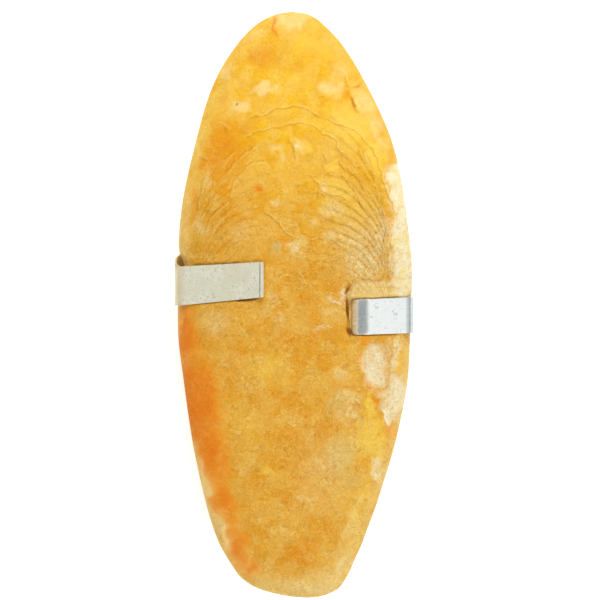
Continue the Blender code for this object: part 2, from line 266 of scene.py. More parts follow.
# Where the dye lies thickest, in deep orange.
ORANGE_SPOTS = (
    (-4.9, 71.9, 0.6, 3.1, 0, 0.8),
    (-9.1, 29.6, 1.7, 0.8, -35, 1.2),
    (-28.1, -7.9, 2.6, 8.3, 0, 1.1),
    (-25.5, -24.7, 5.2, 11.4, 8, 1.3),
    (-21.6, -37.7, 4.2, 9.9, 12, 1),
    (-18.4, -50.7, 2.9, 7.3, 14, 0.85),
    (-14.8, -62.4, 2.9, 6.8, 20, 0.85),
    (-11.4, -67.9, 2.1, 2.1, 0, 0.8),
    (17.4, -9.2, 2.1, 1.3, 0, 0.6),
    (17.9, -14.9, 0.6, 3.6, 12, 0.6),
    (21.3, -21.4, 2.3, 0.8, -35, 0.6),
    (21.8, -25.3, 0.5, 2.9, 26, 0.8),
    (23.9, -29.2, 0.6, 2.6, 28, 0.8),
    (25.5, -32.5, 1.0, 2.1, 15, 0.7),
    (27.5, -10.2, 0.8, 1.3, 0, 0.5),
    (29.9, -8.4, 0.5, 1.0, 0, 0.7),
    (17.1, 56.8, 1.6, 0.4, 5, 0.9),
    (14.6, 54.0, 0.6, 3.1, 18, 0.6),
    (-2.1, 16.3, 1.6, 0.8, -30, 0.7),
)
# Where it is amber.
AMBER_SPOTS = (
    (-8.3, 63.9, 3.6, 2.9, 0, 0.95),
    (6.2, 66.2, 3.4, 3.6, 0, 0.6),
    (-18.4, 53.2, 0.8, 2.6, 0, 0.8),
    (-18.7, 40.2, 6.8, 7.8, 0, 1),
    (-23.1, 37.1, 3.4, 2.1, 0, 1),
    (-15.1, 46.2, 4.7, 2.3, 0, 0.8),
    (-26.0, 26.4, 1.6, 6.2, 0, 0.7),
    (-13.5, 21.2, 3.9, 1.8, 20, 0.7),
    (10.7, 4.1, 2.1, 3.4, 0, 1),
    (3.6, 1.2, 4.2, 3.1, 0, 0.6),
    (6.2, -6.0, 4.2, 4.7, 0, 0.6),
    (-2.3, -7.9, 3.6, 7.8, 0, 0.5),
    (1.3, -64.2, 3.6, 3.4, 0, 1.2),
    (1.6, -65.3, 1.8, 1.8, 0, 1),
    (-11.4, -24.7, 3.6, 7.8, 0, 0.5),
    (-15.1, -14.9, 2.6, 6.2, 0, 0.8),
    (2.6, 9.5, 4.7, 2.6, 0, 0.5),
    (-17.9, 12.9, 7.8, 3.1, 0, 0.4),
    (-17.5, 26.0, 8.5, 12.0, 0, 0.62),
    (1.6, -35.1, 4.2, 13.0, 0, 0.4),
    (-5.7, -74.1, 5.2, 1.6, 0, 0.4),
)
# Where it is clear yellow.
GOLD_SPOTS = (
    (6.8, 67.5, 5.7, 4.2, 0, 0.8),
    (-2.1, 57.1, 6.5, 4.7, 0, 0.6),
    (14.0, 45.9, 8.3, 5.2, -30, 0.9),
    (2.9, 41.2, 1.3, 1.3, 0, 1),
    (20.3, 38.9, 2.6, 6.5, 15, 0.9),
    (12.0, 29.8, 5.7, 3.6, -35, 0.8),
    (15.6, 24.1, 5.7, 6.2, -20, 0.8),
    (23.6, 38.1, 1.6, 2.3, 0, 0.9),
    (10.4, 35.5, 1.6, 1.0, 0, 1),
    (9.6, 27.2, 1.6, 0.8, 0, 1),
    (-6.8, -42.4, 1.6, 1.3, 0, 0.9),
    (-7.3, -16.4, 5.7, 4.2, 0, 0.7),
    (-14.0, -29.9, 6.8, 7.8, 0, 0.5),
    (20.8, -35.1, 3.6, 7.8, 12, 1.1),
    (21.8, -42.9, 2.6, 6.2, 14, 0.8),
    (20.3, -26.0, 1.3, 3.6, 5, 1.1),
    (17.1, -52.8, 2.6, 7.3, -14, 0.8),
    (20.8, 11.1, 0.9, 1.0, 0, 1),
    (25.7, 15.5, 0.5, 1.0, 0, 0.9),
    (29.4, 7.0, 0.5, 1.3, 0, 0.9),
    (27.8, -14.6, 1.8, 2.6, 0, 0.9),
    (-14.0, 53.2, 7.8, 7.8, 0, 0.35),
    (1.6, 48.0, 6.8, 3.1, 0, 0.4),
)
# Where the bone took little dye.
PALE_SPOTS = (
    (-0.3, 74.0, 4.7, 1.8, 0, 0.95),
    (-17.1, 60.5, 2.1, 2.9, 20, 0.7),
    (-9.1, 70.6, 2.1, 1.6, 0, 0.5),
    (-8.3, 55.8, 3.4, 1.2, -5, 1),
    (-14.0, 51.6, 3.1, 2.1, 0, 0.9),
    (9.9, 56.1, 3.6, 2.1, 0, 0.9),
    (11.7, 61.0, 2.3, 2.1, 0, 0.5),
    (18.4, 52.4, 2.3, 3.6, 20, 0.8),
    (21.8, 44.9, 1.6, 4.7, 22, 0.8),
    (-4.7, 40.2, 1.8, 1.3, 0, 0.8),
    (-3.1, 37.4, 1.3, 1.3, 0, 0.8),
    (-17.7, 31.6, 1.3, 1.0, 0, 0.5),
    (1.0, 41.8, 0.8, 1.3, 0, 1),
    (10.4, 24.1, 2.3, 2.3, 0, 0.95),
    (-5.5, 25.4, 1.8, 1.0, 0, 0.85),
    (-23.4, 19.9, 1.6, 2.6, 20, 0.75),
    (0.3, 15.8, 1.6, 1.3, 0, 0.95),
    (5.7, 20.7, 1.3, 1.3, 0, 0.7),
    (9.9, 17.9, 1.6, 1.0, 0, 0.75),
    (14.0, 19.4, 1.8, 1.6, 0, 0.75),
    (-14.0, 18.9, 3.1, 2.1, 20, 0.5),
    (-20.3, -4.2, 3.9, 3.6, 0, 0.7),
    (9.4, -1.6, 2.6, 0.9, -12, 0.75),
    (7.3, -5.8, 2.1, 1.0, 0, 0.8),
    (26.2, -10.5, 1.6, 1.3, 0, 0.8),
    (15.6, -27.9, 1.3, 1.6, 0, 0.95),
    (12.0, -18.0, 1.6, 1.6, 0, 0.7),
    (13.3, -23.4, 3.1, 2.1, 0, 0.5),
    (3.6, -49.7, 1.6, 0.6, 0, 0.8),
    (15.1, -35.1, 1.0, 2.3, 0, 0.65),
    (-23.1, -47.4, 1.3, 7.8, 16, 0.85),
    (-18.7, -59.0, 1.4, 6.2, 24, 0.85),
    (4.7, -73.6, 10.4, 2.3, -4, 0.8),
    (9.4, -71.0, 5.7, 2.3, -20, 0.6),
    (12.5, -66.8, 1.6, 3.9, -25, 0.95),
    (15.1, -55.9, 1.6, 5.7, -14, 0.6),
    (-28.3, 23.3, 1.3, 9.9, 0, 0.45),
    (-29.4, 15.5, 1.3, 3.6, 0, 0.5),
    (-22.6, 32.4, 1.3, 3.1, 0, 0.65),
    (-12.7, 58.4, 2.6, 1.6, 0, 0.4),
    (18.7, 14.2, 6.8, 7.8, 0, 1.05),
    (7.0, -44.0, 7.5, 15.0, 6, 0.42),
    (23.6, 11.1, 2.6, 4.7, 0, 0.8),
    (-25.2, 42.3, 1.0, 2.3, 20, 0.7),
    (23.1, -42.9, 1.6, 5.2, 14, 0.7),
)
# Where a whitish flake of skin covers the face.
CREAM_SPOTS = (
    (8.1, 30.3, 1.4, 1.5, 0, 0.5),
    (12.5, 3.1, 1.0, 2.3, 0, 0.9),
    (21.6, -15.9, 2.9, 4.7, 8, 1.25),
    (26.0, -14.9, 1.2, 3.6, 10, 0.75),
    (26.2, -23.7, 2.6, 5.5, 0, 1.25),
    (24.4, -29.2, 1.2, 2.6, 22, 1.1),
    (21.0, -42.9, 1.3, 2.6, 14, 0.8),
    (23.1, 19.4, 1.3, 3.6, 0, 0.75),
    (10.7, 1.2, 2.6, 0.8, -20, 0.7),
    (0.5, 41.8, 0.8, 0.6, 0, 0.8),
    (23.1, 13.7, 0.8, 3.6, 0, 0.6),
    (25.2, 3.3, 3.6, 0.8, 0, 0.5),
)
# Where it is greyed by dirt or algae.
GREY_SPOTS = (
    (-4.2, 14.5, 1.8, 1.3, 0, 1.2),
    (-3.6, 21.2, 1.3, 1.0, 0, 0.7),
    (17.1, -25.3, 1.3, 2.1, -20, 0.8),
    (17.7, -29.9, 1.0, 2.6, 0, 0.7),
    (12.0, -39.0, 3.9, 5.7, 0, 1),
    (14.6, -45.5, 2.6, 2.6, 0, 0.8),
    (12.0, -25.3, 3.9, 3.9, 0, 0.8),
    (7.3, -5.8, 1.8, 1.0, 0, 0.5),
    (21.6, -15.9, 2.1, 3.9, 8, 0.8),
    (11.4, -18.0, 1.0, 0.8, 0, 0.7),
    (15.8, -37.0, 0.6, 3.6, 0, 0.7),
    (-23.1, 45.4, 0.8, 1.3, 0, 0.5),
    (10.4, 24.1, 1.8, 1.8, 0, 0.5),
    (-23.1, -46.8, 1.0, 6.2, 16, 0.5),
)
# Where the laminae's edges are crazed into crumbs.
CRACKLED_SPOTS = (
    (18.7, 13.2, 6.2, 6.8, 0, 1),
    (11.4, 17.3, 5.2, 3.1, 0, 0.6),
    (21.8, 23.3, 3.6, 3.1, 0, 0.5),
    (25.5, -11.2, 3.6, 3.1, 0, 0.9),
    (14.0, -25.3, 5.7, 6.2, 0, 0.6),
    (26.0, -24.7, 2.6, 5.7, 0, 0.8),
    (-4.9, -4.5, 5.2, 5.7, 0, 0.55),
    (1.0, 14.2, 4.2, 4.7, 0, 0.55),
    (9.4, -4.0, 5.2, 4.2, 0, 0.35),
    (21.6, -15.9, 2.6, 4.4, 8, 0.3),
    (9.4, -40.3, 6.8, 6.8, 0, 0.45),
    (-6.2, 1.2, 5.2, 3.6, 0, 0.5),
    (1.6, -29.9, 15.6, 13.0, 0, 0.25),
    (-3.6, -55.9, 13.0, 13.0, 0, 0.35),
    (-23.1, 20.5, 2.1, 3.1, 20, 0.5),
)
# Dark brown in the corners of the beds, partly grime and partly painted shade, a painted shadow under the
# left tongue's lower edge, and one dark dot near the front.
GRIME_AND_SHADE_SPOTS = (
    (14.2, -6.9, 0.6, 1.2, 25, 1.2),
    (13.75, -1.2, 0.36, 3.0, 4, 1.3),
    (13.9, 4.0, 0.34, 1.5, -30, 1.1),
    (-12.2, 1.35, 3.0, 0.5, 5, 1.2),
    (-14.7, 51.75, 0.42, 0.5, 0, 0.85),
)
# Edges of laminae, cracks and scratches that stand out, and lines of painted shade at the beds' walls, along
# the right tongue's top edge and in the gap at the left tongue's wall: half width, strength and points along
# each.
DRAWN_LINES = (
    (0.2, 0.75, ((-12.0, 47.7), (-9.9, 48.4), (-7.5, 48.8), (-5.2, 50.1), (-3.0, 50.7), (-0.3, 50.9),
     (2.6, 50.6), (4.3, 49.8), (6.2, 48.5), (8.6, 47.6), (9.6, 46.8), (12.2, 46.0), (15.2, 45.1), (16.5,
     44.1), (17.7, 43.1), (18.6, 41.8), (19.7, 40.7), (20.7, 39.4), (21.2, 38.3), (21.7, 36.8), (22.2,
     34.4), (22.3, 32.4), (23.1, 30.9), (24.2, 28.9), (24.4, 27.6), (25.6, 25.8), (25.7, 23.7))),
    (0.2, 0.75, ((-13.0, 42.9), (-10.9, 43.6), (-8.6, 44.6), (-6.0, 45.1), (-3.1, 45.7), (-1.0, 46.5),
     (0.4, 46.5), (2.6, 46.7), (4.2, 45.9), (6.0, 45.1), (7.0, 44.6), (7.5, 43.9), (9.1, 43.5), (10.3,
     43.0), (11.3, 41.7), (10.9, 40.5), (12.0, 39.2), (13.3, 37.9), (14.8, 36.5), (16.5, 35.3), (17.4,
     35.3), (18.4, 33.7), (19.7, 32.2), (20.7, 30.5), (21.3, 28.5), (22.2, 26.6))),
    (0.28, 0.95, ((16.6, 40.4), (17.0, 38.6), (17.9, 37.0), (19.1, 35.7), (20.0, 33.7), (21.2, 32.2))),
    (0.2, 0.6, ((18.4, 39.9), (18.1, 38.4), (18.7, 36.6), (19.7, 35.0))),
    (0.2, 0.85, ((11.4, 37.5), (11.7, 36.2), (12.9, 34.9), (14.6, 33.7), (15.8, 32.8), (16.6, 31.8),
     (17.8, 29.6), (19.1, 27.9), (20.3, 26.2))),
    (0.22, 0.9, ((12.1, 33.7), (12.7, 32.6), (14.2, 31.1), (15.5, 29.6), (16.5, 27.6), (17.1, 25.7),
     (18.4, 23.8), (20.0, 22.4))),
    (0.2, 0.6, ((6.9, 39.7), (7.5, 38.3), (8.2, 36.6), (8.7, 35.7))),
    (0.2, 0.65, ((2.6, 33.5), (4.2, 33.2), (5.5, 31.8), (6.2, 30.3), (8.1, 28.9), (10.1, 27.9), (12.5,
     27.2), (14.6, 26.2), (16.1, 24.4), (17.4, 22.3))),
    (0.2, 0.7, ((15.2, 25.4), (16.5, 24.0), (17.4, 22.4), (18.4, 20.5))),
    (0.2, 0.7, ((16.1, 23.3), (18.1, 21.8), (19.7, 19.4), (20.4, 18.4))),
    (0.25, 0.6, ((-0.4, 30.7), (1.6, 30.6), (3.0, 30.7))),
    (0.25, 0.5, ((2.5, 29.8), (3.2, 28.6))),
    (0.25, 0.6, ((4.2, 16.3), (6.8, 16.8), (9.6, 16.3), (12.7, 14.6), (14.3, 14.0))),
    (0.2, 0.5, ((6.0, 53.0), (6.6, 53.8), (8.3, 53.5))),
    (0.2, 0.8, ((13.3, 59.2), (14.0, 55.8), (14.7, 53.7))),
    (0.45, 1.4, ((13.9, 55.8), (14.7, 53.7), (15.6, 51.1), (16.4, 49.2))),
    (0.25, 0.7, ((-8.8, 41.1), (-10.5, 40.9), (-12.5, 39.6), (-14.0, 38.3), (-15.7, 36.8), (-17.0,
     35.0), (-17.7, 33.6))),
    (0.25, 0.5, ((-15.1, 39.8), (-16.4, 38.6), (-17.3, 37.5))),
    (0.2, 0.7, ((-5.3, 35.7), (-6.9, 36.8), (-8.8, 36.9), (-10.4, 36.8), (-12.0, 35.7), (-13.4, 34.2),
     (-14.4, 33.1), (-15.7, 31.5), (-16.4, 29.6), (-16.6, 27.6), (-17.9, 25.9), (-19.9, 24.4), (-21.6,
     22.5), (-22.6, 20.1))),
    (0.2, 0.5, ((-8.8, 34.1), (-7.3, 33.7), (-5.6, 33.1))),
    (0.2, 0.4, ((-9.5, 31.5), (-6.9, 31.8))),
    (0.22, 0.7, ((-23.3, 34.5), (-23.6, 31.8), (-24.2, 29.2), (-24.7, 27.6), (-25.1, 25.3), (-25.2,
     23.2))),
    (0.2, 0.6, ((-21.0, 32.2), (-21.3, 30.1), (-22.1, 27.9), (-22.2, 26.3), (-23.1, 24.4), (-23.8,
     22.4))),
    (0.2, 0.55, ((-20.3, 28.3), (-21.2, 26.4), (-21.6, 24.9), (-22.6, 22.7))),
    (0.2, 0.6, ((-17.3, 23.3), (-18.6, 22.5), (-19.9, 21.1), (-20.9, 20.1), (-21.8, 18.1), (-22.3,
     15.8))),
    (0.2, 0.45, ((-8.8, 24.5), (-10.5, 24.9), (-12.0, 24.2), (-12.7, 23.3))),
    (0.22, 0.9, ((-9.5, 25.0), (-7.3, 23.3), (-5.6, 22.4), (-4.0, 20.7), (-2.1, 18.5), (-0.4, 16.8))),
    (0.2, 0.6, ((-14.0, 16.2), (-15.3, 16.0), (-16.6, 15.0), (-17.7, 13.6))),
    (0.2, 0.5, ((-20.3, 17.1), (-19.5, 17.4), (-18.4, 17.3), (-18.7, 16.0))),
    (0.4, 0.5, ((-22.2, 43.2), (-21.4, 44.0))),
    (0.3, 0.5, ((-19.9, 46.7), (-18.3, 45.9), (-17.1, 44.4))),
    (0.35, 0.5, ((-25.2, 38.1), (-23.6, 37.9), (-22.2, 36.6))),
    (0.3, 0.7, ((-1.7, 43.3), (-1.0, 41.5), (-0.1, 40.2), (0.1, 38.3), (0.3, 36.8))),
    (0.2, 0.8, ((23.8, 20.5), (23.0, 16.6), (22.9, 12.9), (22.3, 7.7))),
    (0.2, 0.75, ((24.7, 18.9), (23.6, 15.3), (23.5, 11.1), (23.1, 6.4))),
    (0.2, 0.75, ((24.2, 15.8), (24.2, 12.1), (24.0, 6.4))),
    (0.2, 0.75, ((25.2, 16.8), (25.1, 12.7), (24.9, 6.2))),
    (0.2, 0.6, ((25.9, 14.2), (25.7, 10.3), (25.5, 5.9))),
    (0.2, 0.7, ((17.7, 11.4), (18.7, 9.3), (20.0, 7.1))),
    (0.2, 0.6, ((19.1, 11.1), (20.3, 8.8), (21.2, 6.7))),
    (0.2, 0.6, ((20.8, 16.8), (21.6, 13.7), (21.8, 10.3), (21.7, 6.7))),
    (0.2, 0.55, ((19.5, 18.6), (20.5, 16.0), (21.0, 12.9))),
    (0.2, 0.5, ((17.8, 17.9), (19.0, 15.3), (20.0, 12.7))),
    # Painted shade: the right bed's top wall, then its inner wall.
    (0.3, 1, ((16.0, 6.6), (18.4, 6.6), (20.0, 6.3), (22.9, 6.2), (25.5, 5.8))),
    (0.5, 0.55, ((14.9, 5.4), (14.4, 3.8), (14.2, 1.2))),
    (0.2, 0.5, ((21.3, 4.5), (24.9, 4.6), (28.1, 4.1))),
    (0.16, 0.6, ((-0.8, -34.4), (0.9, -38.0), (2.6, -41.9))),
    (0.25, 0.9, ((8.3, -25.1), (8.2, -26.4))),
    (0.3, 0.5, ((2.9, -28.4), (3.0, -29.9))),
    (0.3, 0.7, ((10.9, -17.7), (11.8, -18.1))),
    (0.3, 0.6, ((15.2, -24.1), (16.1, -25.5), (17.1, -27.3))),
    (0.25, 0.6, ((18.4, -26.7), (19.0, -28.6), (19.1, -30.5))),
    (0.35, 0.5, ((16.4, -28.9), (15.3, -30.7), (15.5, -33.3), (15.6, -37.0))),
    (0.25, 0.5, ((-11.8, -27.6), (-13.1, -29.7))),
    # Painted shadow: the gap between the bone and the left tongue's wall.
    (0.25, 0.9, ((-29.2, 11.9), (-29.0, 11.1), (-28.8, 10.2))),
    # Painted shade: the right bed's wall, then a painted shadow, partly dirt, along the right tongue's top
    # edge.
    (0.45, 1.25, ((16.9, 6.6), (15.1, 6.0), (14.0, 4.9), (13.6, 3.3), (13.4, 1.5), (13.6, -0.3), (13.9, -3.2),
     (14.2, -5.8), (14.8, -7.9))),
    (0.25, 1, ((15.1, 1.4), (18.4, 1.6), (23.6, 1.75), (30.6, 2.2))),
)

# Inner limit of the undyed right margin: places along the bone and across it.
MARGIN_LIMIT = (
    (2.0, 26.0),
    (8.0, 25.2),
    (11.5, 24.5),
    (14.5, 25.2),
    (17.3, 24.3),
    (20.0, 25.3),
    (23.3, 26.2),
    (26.8, 25.0),
    (30.6, 23.9),
    (33.8, 23.7),
    (36.2, 24.8),
    (37.0, 27.5),
    (39.5, 29.0),
)

TOP_SEGMENTS = 160
BACK_SEGMENTS = 60
RINGS = 430

# The laminae's steps and the share of each that rises, depth and half width of the groove along the middle, a
# drawn line's ledge and groove, the crumbs, the shell's ribs, and the dent in front of the left tongue.
STEP_HEIGHT = 0.5
STEP_RISE = 0.14
GROOVE_DEPTH = 0.45
GROOVE_WIDTH = 3.4
LINE_LEDGE = 0.09
LINE_GROOVE = 0.07
CRUMB_HEIGHT = 0.22
RIB_HEIGHT = 0.35
DENT_DEPTH = 1.3


def make_cuttlebone():
    """The bone, from a ball with its poles at the two tips."""
    # The ball's rings go along the bone, and its columns across the soft face and back across the shell.
    segments = TOP_SEGMENTS + BACK_SEGMENTS
    ball = bmesh.new()
    bmesh.ops.create_uvsphere(ball, u_segments=segments, v_segments=RINGS, radius=1.0)
    start = np.array([v.co for v in ball.verts])
    ring = np.arccos(np.clip(start[:, 2], -1, 1)) / math.pi
    b = 0.8 * (1 - 2 * ring) + 0.2 * np.cos(math.pi * ring)
    at_pole = np.abs(start[:, 2]) > 0.9999999
    turn = np.arctan2(start[:, 1], start[:, 0]) / (2 * math.pi) * segments
    turn = np.round(turn % segments) % segments
    upper = turn <= TOP_SEGMENTS
    across = np.where(upper, 1 - 2 * turn / TOP_SEGMENTS, 2 * (turn - TOP_SEGMENTS) / BACK_SEGMENTS - 1)
    across = 0.55 * across + 0.45 * np.sin(math.pi / 2 * across)
    a = np.where(at_pole, 0, across * np.sqrt(np.clip(1 - b * b, 0, 1)))
    x, y, z = bone_skin(a, b, upper)
    flat = np.column_stack((x, y, z))

    # The laminae's edges stand up as low steps behind the foremost one.
    crossing, side = arches(x, y, b)
    wander = lumps(flat, 1.6, 11.0, 1) + lumps(flat, 0.55, 3.5, 2)
    place = crossing + wander
    count = np.log(1 + ARCH_SPREAD * np.maximum(place, -12)) / ARCH_SPREAD
    spacing = 1 + ARCH_SPREAD * np.maximum(place, -8)
    phase = count % 1.0
    saw = np.minimum(phase / STEP_RISE, (1 - phase) / (1 - STEP_RISE))
    behind_first = 1 - ramp(place, *FOREMOST_ARCH)
    in_rim = 1 - ramp(side, 0.93, 1.05)
    stepped = behind_first * in_rim * ramp(place, 4, 26) * ramp(y, -2, 14) * arch_strength(x, y)
    off_edge = 1 - ramp(np.hypot(a, b), 0.90, 0.985)
    groove = GROOVE_DEPTH * np.exp(-((x / GROOVE_WIDTH) ** 2)) * (1 - ramp(np.abs(y), 30, 52))
    face = STEP_HEIGHT * saw * stepped - groove + lumps(flat, 0.30, 16.0, 3) + lumps(flat, 0.14, 5.0, 4)
    face = face + lumps(flat, 0.10, 1.9, 6) * (1 - 0.7 * ramp(y, 45, 60))

    # Crumbs lie where the spots say, each drawn line is a low ledge with a groove, and the shell has ribs.
    spread_x = x + lumps(flat, 1.6, 6.0, 11) + lumps(flat, 1.3, 2.2, 12)
    spread_y = y + lumps(flat, 1.6, 6.0, 13) + lumps(flat, 1.3, 2.2, 14)
    crackled = spots(spread_x, spread_y, CRACKLED_SPOTS) * np.where(upper, off_edge, 0)
    line_offset, line_strength = drawn(x + lumps(flat, 0.5, 1.7, 15), y + lumps(flat, 0.5, 1.7, 16))
    ledge = LINE_LEDGE * np.tanh(line_offset / 2) * np.exp(-((line_offset / 4) ** 2))
    face = face + line_strength * (ledge - LINE_GROOVE * np.exp(-((line_offset / 1.4) ** 2)))
    face = face + lumps(flat, CRUMB_HEIGHT, 1.0, 8) * crackled
    ribs = RIB_HEIGHT * np.cos(np.clip(a / 0.75, -1, 1) * 3 * math.pi) * (1 - ramp(np.abs(b), 0.5, 0.95))
    back = (lumps(flat, 0.25, 13.0, 5) - ribs) * ramp(np.abs(y), 16, 26) + lumps(flat, 0.10, 2.2, 7)
    z = z + np.where(upper, face, back) * off_edge

    # The tongues' beds. The right one reaches further forward than its tongue, and shows in front of it.
    left_depth, _ = tongue_bed(-x, y, z, LEFT_TIP, LEFT_ROOT, LEFT_FOLD)
    left_depth = left_depth * ramp(-x, LEFT_TIP[0] - 0.7, LEFT_TIP[0] - 0.2)
    right_depth, right_low = tongue_bed(x, y, z, RIGHT_TIP, RIGHT_ROOT, RIGHT_FOLD)
    wall = np.interp(y, *zip(*BED_WALL))
    behind_wall = ramp(x, wall - 0.1, wall + 0.6)
    open_part = ramp(y, right_low, right_low + 2) * (1 - ramp(y, BED_TOP - 0.5, BED_TOP + 0.2))
    open_depth = open_part * (1 - 0.5 * ramp(y, 2, BED_TOP)) * (1 - ramp(x, 17, 27))
    pressed = np.maximum(left_depth, behind_wall * np.maximum(right_depth, open_depth))
    z = z - np.where(upper, pressed, 0)
    dent = DENT_DEPTH * np.exp(-(((y - 10.4) / 2.6) ** 2)) * ramp(-x, 22, 30)
    left_limit = LEFT_WALL - TIN / 2 - WALL_GAP + BULGE * (1 - within(y, *LEFT_PINCH, 0.2, 0.6))
    right_limit = RIGHT_WALL - TIN / 2 - WALL_GAP + BULGE * (1 - within(y, *RIGHT_PINCH, 0.2, 0.6))
    x = np.clip(x + dent, -left_limit, right_limit)

    for vertex, at in zip(ball.verts, np.column_stack((x, y, z))):
        vertex.co = Vector(at) * MM
    bmesh.ops.recalc_face_normals(ball, faces=ball.faces)
    mesh = bpy.data.meshes.new("cuttlebone_dyed")
    ball.to_mesh(mesh)
    ball.free()
    bone = bpy.data.objects.new("cuttlebone_dyed", mesh)
    bpy.context.scene.collection.objects.link(bone)
    mesh.shade_smooth()

    # What the finish reads at each point. Its spots keep off the edge, or run over it onto the bone's side.
    off_middle = np.clip(side, 0, 0.97)
    gradient = np.hypot(1.0, 2 * ARCH_DROP * off_middle / ARCH_REACH / (1 - off_middle**2))
    on_face = np.where(upper, off_edge, 0)
    soft_side = np.where(upper, 1, 0)
    fields = {
        "line_offset": line_offset,
        "line_mark": line_strength * soft_side,
        "arch_count": count,
        "arch_pitch": spacing / gradient,
        "arch_mark": behind_first * in_rim * ramp(place, -14, 6) * on_face * arch_strength(x, y),
        "amber": spots(spread_x, spread_y, AMBER_SPOTS) * on_face,
        "cream": spots(spread_x, spread_y, CREAM_SPOTS) * soft_side,
        "orange": spots(spread_x, spread_y, ORANGE_SPOTS) * soft_side,
        "bed": behind_wall * open_part * soft_side,
        "gold": spots(spread_x, spread_y, GOLD_SPOTS) * on_face,
        "pale": spots(spread_x, spread_y, PALE_SPOTS) * soft_side,
        "grey": spots(spread_x, spread_y, GREY_SPOTS) * on_face,
        "grime_and_shade": spots(x, y, GRIME_AND_SHADE_SPOTS) * on_face,
        "crackled": crackled,
        "margin": np.where(upper, x - np.interp(y, *zip(*MARGIN_LIMIT)), -9) - 20 * (1 - ramp(y, -1, 3)),
        # The rim's share of painted light.
        "rim": ramp(np.hypot(a, b), 0.86, 0.995),
        "face": np.where(upper, 1.0, 0.0),
        "tail": 1 - ramp(y, 6, 50),
    }
    for name, values in fields.items():
        attribute = mesh.attributes.new(name, "FLOAT", "POINT")
        attribute.data.foreach_set("value", values.astype(np.float32))
    return bone


def tint(red, green, blue):
    """A colour as it is seen, from 0 to 255, as the shader's linear colour."""
    def linear(level):
        share = level / 255
        return share / 12.92 if share <= 0.04045 else ((share + 0.055) / 1.055) ** 2.4

    return (linear(red), linear(green), linear(blue), 1.0)


class Finish:
    """A material that is built up from plain steps."""

    def __init__(self, name):
        self.material = bpy.data.materials.new(name)
        self.material.use_nodes = True
        self.tree = self.material.node_tree
        self.shader = self.tree.nodes["Principled BSDF"]
        self.here = self.step("ShaderNodeTexCoord").outputs["Object"]

    def step(self, kind, inputs=None, **settings):
        """Adds one node, with its settings, and its inputs as values or as links."""
        node = self.tree.nodes.new(kind)
        for key, value in settings.items():
            setattr(node, key, value)
        for key, value in (inputs or {}).items():
            self.feed(node.inputs[key], value)
        return node

    def feed(self, socket, value):
        """Links a socket, or sets it where the value is a plain one."""
        if isinstance(value, bpy.types.NodeSocket):
            self.tree.links.new(value, socket)
        else:
            socket.default_value = value

    def field(self, name):
        """One of the piece's own attributes."""
        return self.step("ShaderNodeAttribute", attribute_name=name).outputs["Fac"]

    def sum(self, operation, first, second=0.0):
        """One sum on two values."""
        return self.step("ShaderNodeMath", {0: first, 1: second}, operation=operation).outputs[0]

    def times(self, first, *others):
        """The product of two or more values."""
        for other in others:
            first = self.sum("MULTIPLY", first, other)
        return first

    def swing(self, cloudy, size):
        """Noise made to swing either way from zero."""
        return self.times(self.sum("SUBTRACT", cloudy, 0.5), size)

    def near(self, value, place, inner, outer, share=1.0):
        """A share within an inner distance of a place, and nothing beyond an outer one."""
        return self.between(self.sum("ABSOLUTE", self.sum("SUBTRACT", value, place)), inner, outer, share, 0)

    def between(self, value, low, high, start=0.0, end=1.0):
        """A smooth ramp of a value from start to end."""
        inputs = {"Value": value, "From Min": low, "From Max": high, "To Min": start, "To Max": end}
        return self.step("ShaderNodeMapRange", inputs, interpolation_type="SMOOTHSTEP").outputs["Result"]

    def grain(self, size, detail=2.0, rough=0.5, stretch=(1, 1, 1), twist=0.0):
        """Cloudy noise with features of a size in millimetres, stretched along the piece's axes."""
        scale = tuple(1 / (size * MM * s) for s in stretch)
        place = self.step("ShaderNodeMapping", {"Vector": self.here, "Scale": scale}).outputs["Vector"]
        inputs = {"Vector": place, "Scale": 1.0, "Detail": detail, "Roughness": rough, "Distortion": twist}
        return self.step("ShaderNodeTexNoise", inputs).outputs["Fac"]

    def flakes(self, size, shove, stretch=1.0):
        """Uneven cells of a size in millimetres, each with a grey of its own, shoved about by noise."""
        noise_inputs = {"Vector": self.here, "Scale": 1 / (size * 0.6 * MM), "Detail": 3.0, "Roughness": 0.6}
        swirl = self.step("ShaderNodeTexNoise", noise_inputs).outputs["Color"]
        inputs = {0: swirl, 1: (0.5, 0.5, 0.5)}
        swirl = self.step("ShaderNodeVectorMath", inputs, operation="SUBTRACT").outputs[0]
        inputs = {0: swirl, 1: (shove * MM * 2,) * 3, 2: self.here}
        place = self.step("ShaderNodeVectorMath", inputs, operation="MULTIPLY_ADD").outputs[0]
        scale = (1 / (size * MM), 1 / (size * stretch * MM), 1 / (size * MM))
        place = self.step("ShaderNodeMapping", {"Vector": place, "Scale": scale}).outputs["Vector"]
        return self.step("ShaderNodeTexVoronoi", {"Vector": place, "Scale": 1.0})

    def blend(self, share, below, above):
        """One colour over another."""
        node = self.step("ShaderNodeMix", data_type="RGBA")
        self.feed(node.inputs[0], share)
        self.feed(node.inputs[6], below)
        self.feed(node.inputs[7], above)
        return node.outputs[2]

    def relief(self, height, depth, under=None):
        """Bump of a depth in millimetres, on top of another one."""
        inputs = {"Height": height, "Distance": depth * MM, "Strength": 1.0}
        if under:
            inputs["Normal"] = under
        return self.step("ShaderNodeBump", inputs).outputs["Normal"]


